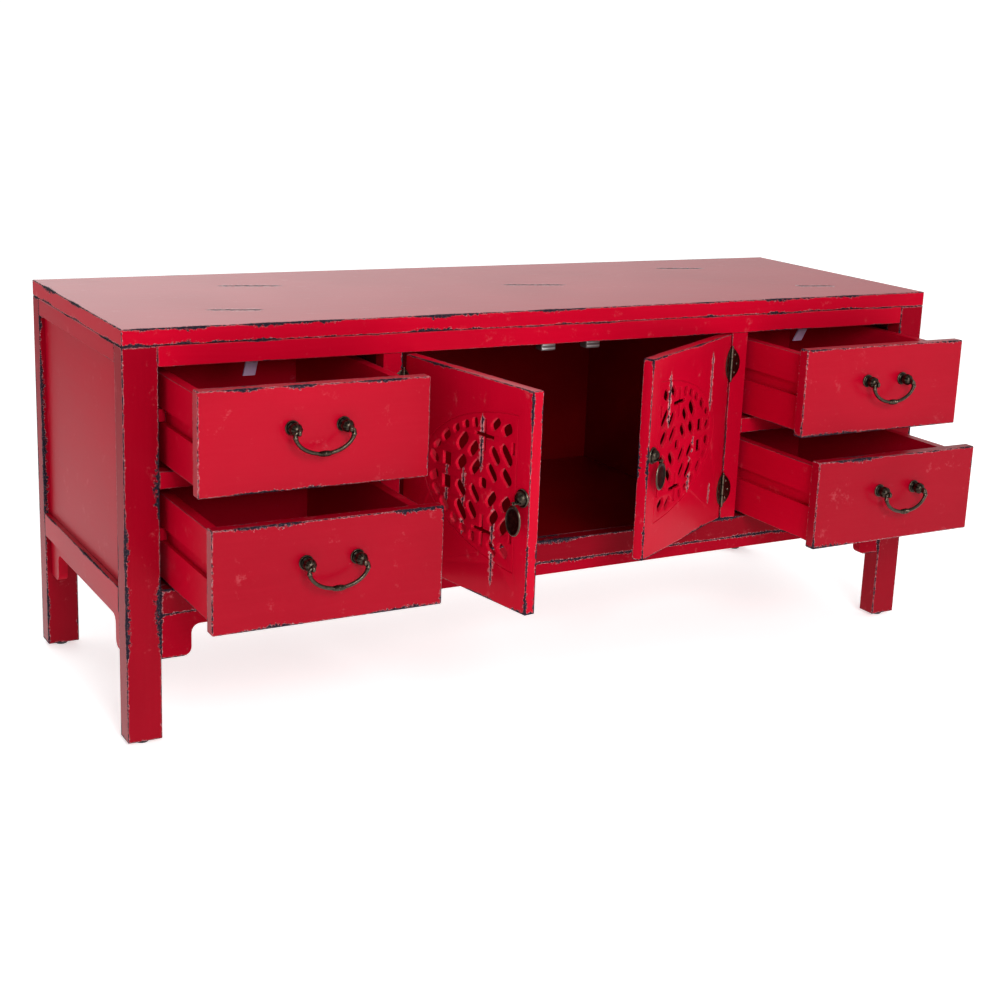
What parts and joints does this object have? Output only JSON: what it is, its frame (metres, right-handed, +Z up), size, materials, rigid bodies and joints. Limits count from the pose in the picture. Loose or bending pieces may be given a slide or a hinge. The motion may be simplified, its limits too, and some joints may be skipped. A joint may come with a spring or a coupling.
{
  "type": "low sideboard cabinet",
  "caption": "Low red lacquered sideboard on legs, with drawers at both sides, fretwork doors in the middle and bronze bail handles, shown with the drawers and doors open.",
  "frame": {"origin": "bottom centre of the bounding box as it stands, with the drawers out and the doors open, on the floor", "axes": "+X along the width to the right as seen from the front, -Y is the front, +Z up"},
  "size_m": [1.3, 0.7031, 0.545],
  "materials": {
    "red_lacquer": "satin red lacquer over a dark ground, rubbed through at the edges",
    "dark_red_lacquer": "flat dark red stain on inside faces",
    "aged_bronze": "aged bronze, darkened in the hollows",
    "steel": "bright zinc plate",
    "black_plastic": "matte"
  },
  "bodies": {
    "case": {"back_panel": "dark_red_lacquer", "bottom_board": "dark_red_lacquer", "door_catch_left": "steel", "door_catch_right": "steel", "drawer_rail_left": "red_lacquer", "drawer_rail_right": "red_lacquer", "front_apron": "red_lacquer", "front_bottom_rail": "red_lacquer", "front_top_rail": "red_lacquer", "glide_back_left": "black_plastic", "glide_back_right": "black_plastic", "glide_front_left": "black_plastic", "glide_front_right": "black_plastic", "hinge_case_leaf_left_bottom": "aged_bronze", "hinge_case_leaf_left_top": "aged_bronze", "hinge_case_leaf_right_bottom": "aged_bronze", "hinge_case_leaf_right_top": "aged_bronze", "leg_back_left": "red_lacquer", "leg_back_right": "red_lacquer", "leg_front_left": "red_lacquer", "leg_front_right": "red_lacquer", "partition_left": "red_lacquer", "partition_right": "red_lacquer", "side_bottom_rail_left": "red_lacquer", "side_bottom_rail_right": "red_lacquer", "side_panel_left": "red_lacquer", "side_panel_right": "red_lacquer", "side_top_rail_left": "red_lacquer", "side_top_rail_right": "red_lacquer", "top_board": "red_lacquer"},
    "drawer_lower_left": {"drawer_front_lower_left": "red_lacquer", "drawer_box_lower_left": "dark_red_lacquer", "handle_post_lower_left_left": "aged_bronze", "handle_post_lower_left_right": "aged_bronze"},
    "bail_lower_left": {"bail_lower_left": "aged_bronze"},
    "drawer_lower_right": {"drawer_front_lower_right": "red_lacquer", "drawer_box_lower_right": "dark_red_lacquer", "handle_post_lower_right_left": "aged_bronze", "handle_post_lower_right_right": "aged_bronze"},
    "bail_lower_right": {"bail_lower_right": "aged_bronze"},
    "drawer_upper_left": {"drawer_front_upper_left": "red_lacquer", "drawer_box_upper_left": "dark_red_lacquer", "handle_post_upper_left_left": "aged_bronze", "handle_post_upper_left_right": "aged_bronze"},
    "bail_upper_left": {"bail_upper_left": "aged_bronze"},
    "drawer_upper_right": {"drawer_front_upper_right": "red_lacquer", "drawer_box_upper_right": "dark_red_lacquer", "handle_post_upper_right_left": "aged_bronze", "handle_post_upper_right_right": "aged_bronze"},
    "bail_upper_right": {"bail_upper_right": "aged_bronze"},
    "door_left": {"door_left": "red_lacquer", "pull_knob_left": "aged_bronze", "hinge_door_leaf_left_top": "aged_bronze", "hinge_door_leaf_left_bottom": "aged_bronze"},
    "pull_left": {"pull_pendant_left": "aged_bronze"},
    "door_right": {"door_right": "red_lacquer", "pull_knob_right": "aged_bronze", "hinge_door_leaf_right_top": "aged_bronze", "hinge_door_leaf_right_bottom": "aged_bronze"},
    "pull_right": {"pull_pendant_right": "aged_bronze"}
  },
  "joints": [
    {"name": "slide_lower_left", "type": "slide", "parent": "case", "child": "drawer_lower_left", "axis": [0, -1, 0], "range_m": [-0.188, 0.102]},
    {"name": "bail_swing_lower_left", "type": "hinge", "parent": "drawer_lower_left", "child": "bail_lower_left", "pos_m": [-0.4527, -0.28668, 0.2852], "axis": [-1, 0, 0], "range_deg": [0, 95]},
    {"name": "slide_lower_right", "type": "slide", "parent": "case", "child": "drawer_lower_right", "axis": [0, -1, 0], "range_m": [-0.188, 0.102]},
    {"name": "bail_swing_lower_right", "type": "hinge", "parent": "drawer_lower_right", "child": "bail_lower_right", "pos_m": [0.4527, -0.28668, 0.2852], "axis": [-1, 0, 0], "range_deg": [0, 95]},
    {"name": "slide_upper_left", "type": "slide", "parent": "case", "child": "drawer_upper_left", "axis": [0, -1, 0], "range_m": [-0.141, 0.149]},
    {"name": "bail_swing_upper_left", "type": "hinge", "parent": "drawer_upper_left", "child": "bail_upper_left", "pos_m": [-0.4527, -0.23968, 0.4407], "axis": [-1, 0, 0], "range_deg": [0, 95]},
    {"name": "slide_upper_right", "type": "slide", "parent": "case", "child": "drawer_upper_right", "axis": [0, -1, 0], "range_m": [-0.141, 0.149]},
    {"name": "bail_swing_upper_right", "type": "hinge", "parent": "drawer_upper_right", "child": "bail_upper_right", "pos_m": [0.4527, -0.23968, 0.4407], "axis": [-1, 0, 0], "range_deg": [0, 95]},
    {"name": "door_hinge_left", "type": "hinge", "parent": "case", "child": "door_left", "pos_m": [-0.27205, -0.07933, 0.35225], "axis": [0, 0, 1], "range_deg": [-10.7, 81.3]},
    {"name": "door_hinge_right", "type": "hinge", "parent": "case", "child": "door_right", "pos_m": [0.27205, -0.07933, 0.35225], "axis": [0, 0, 1], "range_deg": [-30.6, 61.4]},
    {"name": "pull_swing_left", "type": "hinge", "parent": "door_left", "child": "pull_left", "pos_m": [-0.24415, -0.33667, 0.35382], "axis": [-0.1513, 0.9885, 0], "range_deg": [0, 80]},
    {"name": "pull_swing_right", "type": "hinge", "parent": "door_right", "child": "pull_right", "pos_m": [0.05524, -0.22074, 0.35382], "axis": [-0.8607, -0.509, 0], "range_deg": [0, 80]}
  ]
}
